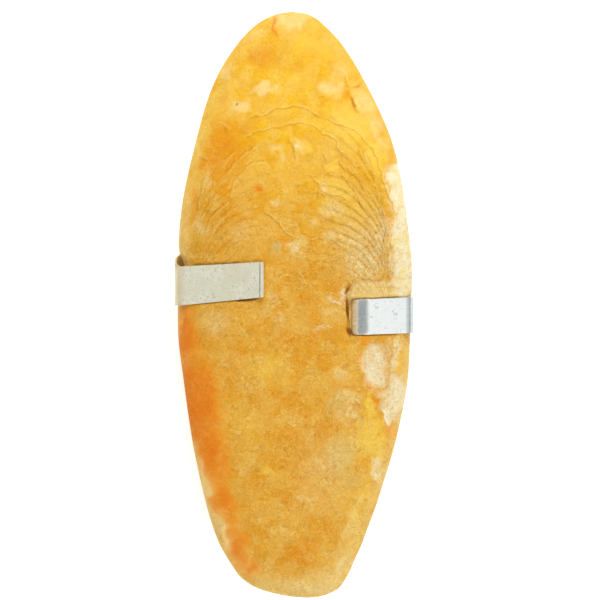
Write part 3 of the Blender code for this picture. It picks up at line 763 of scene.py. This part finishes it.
def dye_finish():
    """Chalky bone under uneven orange dye, with the laminae's edges drawn in."""
    dye = Finish("dyed_bone")
    broad = dye.grain(9.0, 3.0, 0.55, twist=0.5)
    patchy = dye.grain(3.0, 4.0, 0.6, twist=0.6)
    fine = dye.grain(0.9, 4.0, 0.65, twist=0.4)
    dust = dye.grain(0.30, 2.0, 0.6)
    wisps = dye.grain(0.8, 4.0, 0.6, twist=1.8)
    hairs = dye.grain(0.35, 3.0, 0.55, stretch=(1, 3, 1), twist=2.6)
    curl = dye.grain(2.4, 3.0, 0.55, twist=1.2)
    flake = dye.flakes(3.2, 1.1)
    crumb = dye.flakes(0.75, 0.35, stretch=1.5)
    mixed = dye.sum("ADD", dye.times(patchy, 0.6), dye.times(fine, 0.4))
    mottled = dye.between(mixed, 0.35, 0.65)
    clouded = dye.between(patchy, 0.35, 0.65)

    def over(name, low, high, rag, share):
        """Share of one kind of spot, with a ragged edge."""
        return dye.between(dye.sum("ADD", dye.field(name), dye.swing(mixed, rag)), low, high, 0, share)

    # The dye's own uneven colour, which is deeper at the tail, and a painted light that makes the rim paler,
    # most of all towards the tail, to offset the shade on its curve.
    front = dye.blend(mottled, tint(236, 170, 12), tint(246, 192, 34))
    tail = dye.blend(mottled, tint(229, 155, 28), tint(239, 174, 50))
    colour = dye.blend(dye.field("tail"), front, tail)
    colour = dye.blend(dye.between(broad, 0.46, 0.66, 0, 0.45), colour, tint(238, 184, 74))
    colour = dye.blend(dye.between(broad, 0.46, 0.30, 0, 0.25), colour, tint(230, 150, 24))
    # Painted light: the rim's colour is lightened where its curve turns away from the lamps.
    rim = dye.times(dye.field("rim"), dye.between(patchy, 0.35, 0.6, 0.4, 0.8))
    rim = dye.times(rim, dye.between(dye.field("tail"), 0.0, 1.0, 0.35, 1.0))
    colour = dye.blend(rim, colour, tint(250, 212, 120))

    # The stains and the bare places.
    colour = dye.blend(over("amber", 0.1, 1.0, 0.4, 0.85), colour, tint(235, 148, 14))
    colour = dye.blend(over("gold", 0.1, 1.0, 0.4, 0.75), colour, tint(255, 213, 82))
    colour = dye.blend(over("orange", 0.02, 1.15, 0.25, 1.0), colour, tint(230, 122, 2))
    colour = dye.blend(over("grey", 0.15, 1.1, 0.5, 0.7), colour, tint(220, 192, 118))
    inner = dye.between(wisps, 0.38, 0.56, 0.72, 1.0)
    colour = dye.blend(dye.times(over("pale", 0.08, 1.0, 0.6, 0.68), inner), colour, tint(253, 230, 160))
    colour = dye.blend(dye.times(over("cream", 0.18, 0.9, 0.8, 0.95), inner), colour, tint(254, 244, 206))
    colour = dye.blend(dye.times(dye.field("bed"), 0.9), colour, tint(255, 230, 160))

    # Each lamina takes the dye in its own way, and thin flakes are lighter, except in the deep orange.
    shaken = dye.sum("ADD", dye.field("arch_count"), dye.swing(fine, 0.9))
    layer = dye.step("ShaderNodeTexWhiteNoise", {"W": dye.sum("FLOOR", shaken)}, noise_dimensions="1D")
    layer_tone = dye.between(layer.outputs["Value"], 0.0, 1.0, 0.0, 0.45)
    colour = dye.blend(dye.times(layer_tone, dye.field("arch_mark")), colour, tint(236, 178, 62))
    calm = dye.between(dye.field("orange"), 0.1, 0.6, 1.0, 0.15)
    flake_tone = dye.between(flake.outputs["Color"], 0.3, 0.75, 0, 0.26)
    colour = dye.blend(dye.times(flake_tone, calm), colour, tint(248, 210, 108))

    # The undyed right margin.
    margin = dye.sum("ADD", dye.field("margin"), dye.swing(mixed, 6.0))
    margin_share = dye.times(dye.between(margin, -1.4, 2.0, 0, 0.95), dye.between(fine, 0.3, 0.5, 0.8, 1.0))
    colour = dye.blend(margin_share, colour, dye.blend(clouded, tint(250, 230, 160), tint(255, 244, 206)))

    # Pale crumbs with seams between them.
    crazed = dye.between(dye.sum("ADD", dye.field("crackled"), dye.swing(patchy, 1.0)), 0.3, 0.9)
    crumb_tone = dye.between(crumb.outputs["Color"], 0.35, 0.75)
    colour = dye.blend(dye.times(crazed, crumb_tone, 0.85), colour, tint(254, 234, 170))
    seam = dye.times(dye.between(crumb.outputs["Distance"], 0.45, 0.80), crazed)
    colour = dye.blend(dye.times(seam, 0.3), colour, tint(206, 132, 16))

    # The laminae's edges, broken here and there, and the drawn lines, each a groove with a painted highlight
    # along its crest; the grooves of the lines at the beds and the tongues are painted shade.
    phase = dye.sum("FRACT", shaken)
    nearest = dye.sum("MINIMUM", phase, dye.sum("SUBTRACT", 1.0, phase))
    apart = dye.times(nearest, dye.field("arch_pitch"))
    mark = dye.times(dye.field("arch_mark"), dye.between(dye.grain(3.2, 3.0, 0.6), 0.42, 0.54))
    line = dye.times(dye.between(apart, 0.03, 0.24, 1.0, 0.0), mark)
    colour = dye.blend(dye.times(line, 0.36), colour, tint(212, 140, 8))
    moved = dye.sum("ADD", dye.field("line_offset"), dye.swing(fine, 3.2))
    worn = dye.between(dye.grain(1.4, 3.0, 0.6), 0.36, 0.54, 0.4, 1.0)
    groove = dye.between(dye.sum("ABSOLUTE", moved), 0.2, 1.5, 1.0, 0.0)
    groove = dye.times(groove, worn, dye.field("line_mark"))
    painted_crest_highlight = dye.times(dye.between(moved, 0.9, 1.9), dye.between(moved, 4.2, 2.4))
    painted_crest_highlight = dye.times(painted_crest_highlight, worn, dye.field("line_mark"))
    # Painted highlight along one side of each drawn line.
    colour = dye.blend(dye.times(painted_crest_highlight, 0.4), colour, tint(255, 226, 130))
    colour = dye.blend(dye.times(groove, 0.7), colour, tint(206, 134, 6))

    # The chalk's pores, fibres, cracks and scratches, which show most at the tail.
    porous = dye.sum("ADD", dye.times(dye.field("tail"), 0.65), 0.35)
    porous = dye.times(porous, dye.between(calm, 0.15, 1.0, 0.4, 1.0))
    clumped = dye.times(porous, dye.between(dye.grain(4.5, 3.0, 0.6), 0.47, 0.60))
    fibre = dye.times(dye.near(curl, 0.54, 0.008, 0.032, 0.4), clumped)
    crack = dye.times(dye.near(curl, 0.44, 0.006, 0.024, 0.4), clumped)
    chalk_marks = (
        (dye.times(dye.between(wisps, 0.57, 0.64, 0, 0.42), porous), tint(247, 208, 108)),
        (dye.times(dye.between(wisps, 0.44, 0.36, 0, 0.20), porous), tint(196, 116, 14)),
        (dye.times(dye.between(hairs, 0.60, 0.66, 0, 0.35), porous), tint(250, 222, 140)),
        (fibre, tint(254, 224, 136)),
        (crack, tint(200, 120, 8)),
        (dye.times(dye.between(hairs, 0.38, 0.32, 0, 0.5), porous), tint(180, 106, 16)),
        (dye.times(dye.between(dust, 0.36, 0.28, 0, 0.45), porous), tint(180, 106, 20)),
    )
    for share, mark_tint in chalk_marks:
        colour = dye.blend(share, colour, mark_tint)
    # Dark brown: partly grime, partly painted shade in the beds and a painted shadow under the left tongue.
    grime_and_shade = dye.between(dye.sum("ADD", dye.field("grime_and_shade"), dye.times(dust, 0.3)), 0.4, 1.1, 0, 0.85)
    colour = dye.blend(grime_and_shade, colour, tint(120, 52, 0))

    # The hard shell on the back.
    shell = dye.blend(clouded, tint(236, 184, 92), tint(246, 214, 144))
    colour = dye.blend(dye.field("face"), shell, colour)
    dye.feed(dye.shader.inputs["Base Color"], colour)

    ledge = dye.times(phase, dye.field("arch_pitch"), dye.field("arch_mark"))
    normal = dye.relief(ledge, 0.05)
    normal = dye.relief(dye.sum("ADD", line, groove), -0.035, normal)
    normal = dye.relief(seam, -0.05, normal)
    normal = dye.relief(dye.times(wisps, porous), 0.45, normal)
    normal = dye.relief(dye.sum("SUBTRACT", fibre, crack), 0.05, normal)
    normal = dye.relief(flake.outputs["Distance"], -0.10, normal)
    normal = dye.relief(fine, 0.36, normal)
    normal = dye.relief(dust, 0.05, normal)
    dye.feed(dye.shader.inputs["Normal"], normal)
    dye.feed(dye.shader.inputs["Roughness"], dye.between(mixed, 0.3, 0.7, 0.52, 0.72))
    dye.shader.inputs["Specular IOR Level"].default_value = 0.13
    return dye.material


bone = make_cuttlebone()
bone.data.materials.append(dye_finish())
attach(bone, "root")
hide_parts("cuttlebone")


# The holder
#
# One piece of tinned sheet, stamped with two tongues at each end. One tongue of each pair is folded over the
# bone's side onto its face, and the other is folded back under the plate as a hook for a cage bar.

LEFT_HOOK = (
    ((PLATE_SHIFT, PLATE_HEIGHT), 0),
    ((25.7, PLATE_HEIGHT), HOOK_RADIUS),
    ((25.7, HOOK_HEIGHT), HOOK_RADIUS),
    ((9.0, HOOK_HEIGHT), 0),
)
RIGHT_HOOK = (
    ((-PLATE_SHIFT, PLATE_HEIGHT), 0),
    ((22.3, PLATE_HEIGHT), HOOK_RADIUS),
    ((22.3, HOOK_HEIGHT), HOOK_RADIUS),
    ((6.0, HOOK_HEIGHT), 0),
)
# The plate: half its length, the edges of its bands below and above the slits, and how far it is turned.
PLATE_HALF = 16.0
PLATE_EDGES = (-12.0, 0.65, 1.15, 14.3)
PLATE_TURN = 0.036
# Each tongue: way along its bent line, its lower edge and its upper edge. Then the radii of the tips' corners
# and the width of the dulled edges.
LEFT_FOLD_EDGES = ((26.5, -0.1, 13.6), (29.0, -0.2, 11.9), (34.0, *LEFT_ROOT[1:]), (57.5, *LEFT_TIP[1:]))
RIGHT_FOLD_EDGES = ((25, -10.6, 1.4), (31, -7.3, 1.9), (39, *RIGHT_ROOT[1:]), (56.5, *RIGHT_TIP[1:]))
LEFT_HOOK_EDGES = ((18.5, -12.7, -0.1), (23.0, -11.7, -2.2), (42.5, -11.7, -2.2))
RIGHT_HOOK_EDGES = ((18.5, 1.6, 14.6), (25.5, 3.2, 12.6), (45.0, 3.2, 12.6))
LEFT_CORNER = 0.35
RIGHT_CORNER = 0.9
HOOK_CORNER = 1.2
EDGE_DULLING = 0.09

HALF_COLUMNS = 96
PLATE_COLUMNS = 12
TIP_COLUMNS = 6
BAND_ROWS = 8
BEND_EFFORT = 5.0


def tongue_rows(fold, edges, corner, side, is_upper):
    """The rows of points across one half of the plate and the tongue at its end."""
    line = bent_line(fold)
    steps = np.diff(line, axis=0)
    lengths = np.hypot(steps[:, 0], steps[:, 1])
    turns = np.abs(np.append(np.diff(np.unwrap(np.arctan2(steps[:, 1], steps[:, 0]))), 0))
    way = np.append(0, np.cumsum(lengths))
    effort = np.append(0, np.cumsum(lengths + BEND_EFFORT * turns))
    plate = np.linspace(0, PLATE_HALF, PLATE_COLUMNS + 1)
    slit_end, tip_start = np.interp((PLATE_HALF, way[-1] - corner), way, effort)
    bent = np.linspace(slit_end, tip_start, HALF_COLUMNS - PLATE_COLUMNS - TIP_COLUMNS)[1:]
    tip = way[-1] - corner + corner * np.sin(np.linspace(0, math.pi / 2, TIP_COLUMNS + 1))[1:]
    chosen = np.concatenate((plate, np.interp(bent, effort, way), tip))
    inset = corner - np.sqrt(corner**2 - np.clip(chosen - way[-1] + corner, 0, corner) ** 2)
    x = side * np.interp(chosen, way, line[:, 0])
    height = np.interp(chosen, way, line[:, 1])
    plate_low, plate_high = PLATE_EDGES[2:] if is_upper else PLATE_EDGES[:2]
    places, lows, highs = zip(*edges)
    share = ramp(chosen, PLATE_HALF, places[0])
    low = (plate_low + PLATE_TURN * x) * (1 - share) + np.interp(chosen, places, lows) * share + inset
    high = (plate_high + PLATE_TURN * x) * (1 - share) + np.interp(chosen, places, highs) * share - inset
    return [np.column_stack((x, low + (high - low) * k / BAND_ROWS, height)) for k in range(BAND_ROWS + 1)]


def make_holder():
    """The holder, from one flat sheet: slit at both ends, then bent."""
    lower = zip(tongue_rows(LEFT_HOOK, LEFT_HOOK_EDGES, HOOK_CORNER, -1, False),
                tongue_rows(RIGHT_FOLD, RIGHT_FOLD_EDGES, RIGHT_CORNER, 1, False))
    upper = zip(tongue_rows(LEFT_FOLD, LEFT_FOLD_EDGES, LEFT_CORNER, -1, True),
                tongue_rows(RIGHT_HOOK, RIGHT_HOOK_EDGES, HOOK_CORNER, 1, True))
    rows = [np.vstack((left[:0:-1], right)) for left, right in (*lower, *upper)]
    columns = 2 * HALF_COLUMNS - 1
    sheet = bmesh.new()
    bmesh.ops.create_grid(sheet, x_segments=columns - 1, y_segments=len(rows) - 1, size=1.0)
    for vertex in sheet.verts:
        column = round((vertex.co.x + 1) / 2 * (columns - 1))
        row = round((vertex.co.y + 1) / 2 * (len(rows) - 1))
        vertex.index = row * columns + column
        vertex.co = Vector(rows[row][column]) * MM
    slit = []
    for face in sheet.faces:
        places = [divmod(vertex.index, columns) for vertex in face.verts]
        in_slit_row = {row for row, column in places} == {BAND_ROWS, BAND_ROWS + 1}
        if in_slit_row and min(abs(column - HALF_COLUMNS + 1) for row, column in places) >= PLATE_COLUMNS:
            slit.append(face)
    bmesh.ops.delete(sheet, geom=slit, context="FACES")
    mesh = bpy.data.meshes.new("holder_tinplate")
    sheet.to_mesh(mesh)
    sheet.free()
    holder = bpy.data.objects.new("holder_tinplate", mesh)
    bpy.context.scene.collection.objects.link(holder)
    thicken = holder.modifiers.new("sheet_thickness", "SOLIDIFY")
    thicken.thickness = TIN * MM
    thicken.offset = 0
    thicken.use_even_offset = True
    dull_edge = holder.modifiers.new("dulled_edges", "BEVEL")
    dull_edge.width = EDGE_DULLING * MM
    dull_edge.segments = 2
    dull_edge.limit_method = "ANGLE"
    dull_edge.angle_limit = math.radians(50)
    mesh.shade_smooth()
    return holder


def tin_finish():
    """Bright tin, smudged and scratched, duller at the left, dusty at the bone with a painted reflection of
    the bone there, and with painted shade and a painted highlight at its bends. Places are in metres.
    """
    tin = Finish("tinplate")
    place = tin.step("ShaderNodeSeparateXYZ", {"Vector": tin.here})
    across, height = place.outputs["X"], place.outputs["Z"]
    left = tin.between(across, -0.004, 0.006, 1.0, 0.0)
    smudge = tin.grain(4.5, 4.0, 0.6, twist=0.8)
    small = tin.grain(1.1, 3.0, 0.6, twist=0.6)
    speck = tin.grain(0.5, 2.0, 0.5)
    scratch = tin.grain(0.35, 2.0, 0.5, stretch=(6, 1, 1))
    curl = tin.grain(1.2, 3.0, 0.55, twist=2.0)
    smeared = tin.between(smudge, 0.35, 0.65)
    bright = tin.blend(smeared, tint(234, 241, 238), tint(246, 250, 248))
    dull = tin.blend(smeared, tint(226, 222, 196), tint(240, 238, 218))
    colour = tin.blend(left, bright, dull)

    # Bone dust and a painted reflection of the orange bone on the right tongue's end and on the left wall,
    # most of it at the wall's front edge.
    end_dust_and_reflection = tin.times(tin.between(across, 0.0167, 0.0160), tin.between(across, 0.0100, 0.0120))
    end_dust_and_reflection = tin.times(end_dust_and_reflection, tin.between(height, 0.009, 0.012))
    side_dust_and_reflection = tin.times(tin.between(across, -0.0278, -0.0298), tin.between(height, 0.004, 0.006))
    in_gap = tin.times(tin.between(place.outputs["Y"], 0.0092, 0.0104), left)
    side_dust_and_reflection = tin.times(side_dust_and_reflection, tin.sum("ADD", tin.times(in_gap, 0.6), 0.4))
    # This share is partly bone dust and partly a painted reflection of the bone.
    dust = tin.times(tin.sum("ADD", end_dust_and_reflection, side_dust_and_reflection), tin.between(small, 0.3, 0.6, 0.6, 1.0))
    colour = tin.blend(tin.times(dust, 0.95), colour, tint(206, 172, 100))

    # Dirt, painted shade on the bend at the right wall, and hair marks and specks on the left tongue.
    dirt = tin.times(tin.between(small, 0.58, 0.70), tin.between(smudge, 0.42, 0.6))
    colour = tin.blend(tin.times(dirt, 0.45), colour, tint(150, 140, 112))
    # Painted shade: the tin turns grey where it bends round the right wall.
    bend_start = tin.between(across, 0.0288, 0.0294, 0, 0.35)
    painted_bend_shade = tin.sum("ADD", bend_start, tin.between(across, 0.0302, 0.0309, 0, 0.25))
    colour = tin.blend(painted_bend_shade, colour, tint(120, 140, 148))
    hair = tin.times(tin.near(curl, 0.5, 0.008, 0.03, 0.45), tin.between(smudge, 0.46, 0.55), left)
    colour = tin.blend(hair, colour, tint(172, 158, 122))
    specks = tin.times(tin.between(speck, 0.65, 0.72), left)
    colour = tin.blend(tin.times(specks, 0.5), colour, tint(120, 104, 74))

    # The left tongue's turned-down lip, with a painted highlight on it beyond a painted dark line of shade
    # along its fold.
    on_top = tin.between(height, 0.015, 0.018)
    # Painted shade along the fold.
    fold = tin.times(tin.near(across, -0.00872, 0.00007, 0.00020), on_top)
    fold = tin.times(fold, tin.between(small, 0.35, 0.5, 0.3, 1.0))
    painted_lip_highlight = tin.times(tin.between(across, -0.0087, -0.0085), left, on_top)
    colour = tin.blend(painted_lip_highlight, colour, tint(255, 254, 236))
    colour = tin.blend(tin.times(fold, 0.75), colour, tint(96, 90, 76))

    tin.feed(tin.shader.inputs["Base Color"], colour)
    tin.feed(tin.shader.inputs["Metallic"], tin.between(dust, 0.0, 1.0, 1.0, 0.2))
    rough = tin.sum("ADD", tin.between(left, 0, 1, 0.20, 0.40), tin.between(smudge, 0.35, 0.7, 0.0, 0.10))
    tin.feed(tin.shader.inputs["Roughness"], tin.sum("ADD", rough, tin.times(dust, 0.3)))
    normal = tin.relief(scratch, 0.006)
    normal = tin.relief(smudge, 0.03, normal)
    tin.feed(tin.shader.inputs["Normal"], normal)
    return tin.material


holder = make_holder()
holder.data.materials.append(tin_finish())
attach(holder, "root")
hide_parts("holder")


# The studio
#
# A white table in a light tent, with a soft box beyond each end of the bone. The camera looks straight down
# through a hole in the tent, which the tin reflects as a dark band. Sizes are in metres.

FLOOR_SIZE = 3.0
FLOOR_GAP = 0.00005
TABLE_WHITE = 0.7
TABLE_GLOW = 0.55
# How high the tent's cloth is, as the sine of its angle above the table, and how bright it is there.
TENT_BRIGHTNESS = (
    (0.00, 0.60),
    (0.30, 0.56),
    (0.50, 0.64),
    (0.65, 0.96),
    (0.82, 0.99),
    (0.93, 0.38),
    (1.00, 0.34),
)
PIXELS_PER_METRE = 3848.7
FRAME_PIXELS = 600
BONE_MIDDLE_PIXEL = (294.0, 304.75)
FOCUS_HEIGHT = 0.011
CAMERA_HEIGHT = 0.90
SENSOR_WIDTH = 36

table = bmesh.new()
bmesh.ops.create_grid(table, x_segments=1, y_segments=1, size=FLOOR_SIZE / 2)
bmesh.ops.translate(table, verts=table.verts, vec=(0, 0, -FLOOR_GAP))
table_mesh = bpy.data.meshes.new("table")
table.to_mesh(table_mesh)
table.free()
floor = bpy.data.objects.new("table", table_mesh)
bpy.context.scene.collection.objects.link(floor)
white = Finish("white_table")
white.shader.inputs["Base Color"].default_value = (TABLE_WHITE, TABLE_WHITE, TABLE_WHITE, 1)
white.shader.inputs["Roughness"].default_value = 0.9
white.shader.inputs["Emission Color"].default_value = (1, 1, 1, 1)
white.shader.inputs["Emission Strength"].default_value = TABLE_GLOW
floor.data.materials.append(white.material)


def soft_box(name, place, size, power):
    """A square soft box that faces the bone."""
    light = bpy.data.lights.new(name, "AREA")
    light.shape = "SQUARE"
    light.size = size
    light.energy = power
    lamp = bpy.data.objects.new(name, light)
    lamp.location = place
    lamp.rotation_euler = (-Vector(place)).to_track_quat("-Z", "Y").to_euler()
    bpy.context.scene.collection.objects.link(lamp)


soft_box("front_soft_box", (0.10, 0.88, 0.72), size=0.55, power=6.2)
soft_box("tail_soft_box", (0.45, -0.80, 0.75), size=0.6, power=3.3)

tent = bpy.data.worlds.new("tent")
tent.use_nodes = True
bpy.context.scene.world = tent
nodes = tent.node_tree.nodes
links = tent.node_tree.links
direction = nodes.new("ShaderNodeSeparateXYZ")
links.new(nodes.new("ShaderNodeTexCoord").outputs["Generated"], direction.inputs["Vector"])
brightness = nodes.new("ShaderNodeFloatCurve")
curve = brightness.mapping.curves[0]
curve.points[0].location = TENT_BRIGHTNESS[0]
curve.points[1].location = TENT_BRIGHTNESS[-1]
for height, strength in TENT_BRIGHTNESS[1:-1]:
    curve.points.new(height, strength)
links.new(direction.outputs["Z"], brightness.inputs["Value"])
links.new(brightness.outputs["Value"], nodes["Background"].inputs["Strength"])
nodes["Background"].inputs["Color"].default_value = (1, 1, 1, 1)

camera_data = bpy.data.cameras.new("camera")
camera = bpy.data.objects.new("camera", camera_data)
bpy.context.scene.collection.objects.link(camera)
offset = [(FRAME_PIXELS / 2 - pixel) / PIXELS_PER_METRE for pixel in BONE_MIDDLE_PIXEL]
camera.location = (offset[0], -offset[1], CAMERA_HEIGHT + FOCUS_HEIGHT)
camera_data.sensor_width = SENSOR_WIDTH
camera_data.lens = SENSOR_WIDTH * CAMERA_HEIGHT * PIXELS_PER_METRE / FRAME_PIXELS
camera_data.clip_start = 0.05
camera_data.clip_end = 20
bpy.context.scene.camera = camera
bpy.context.scene.view_settings.view_transform = "Standard"
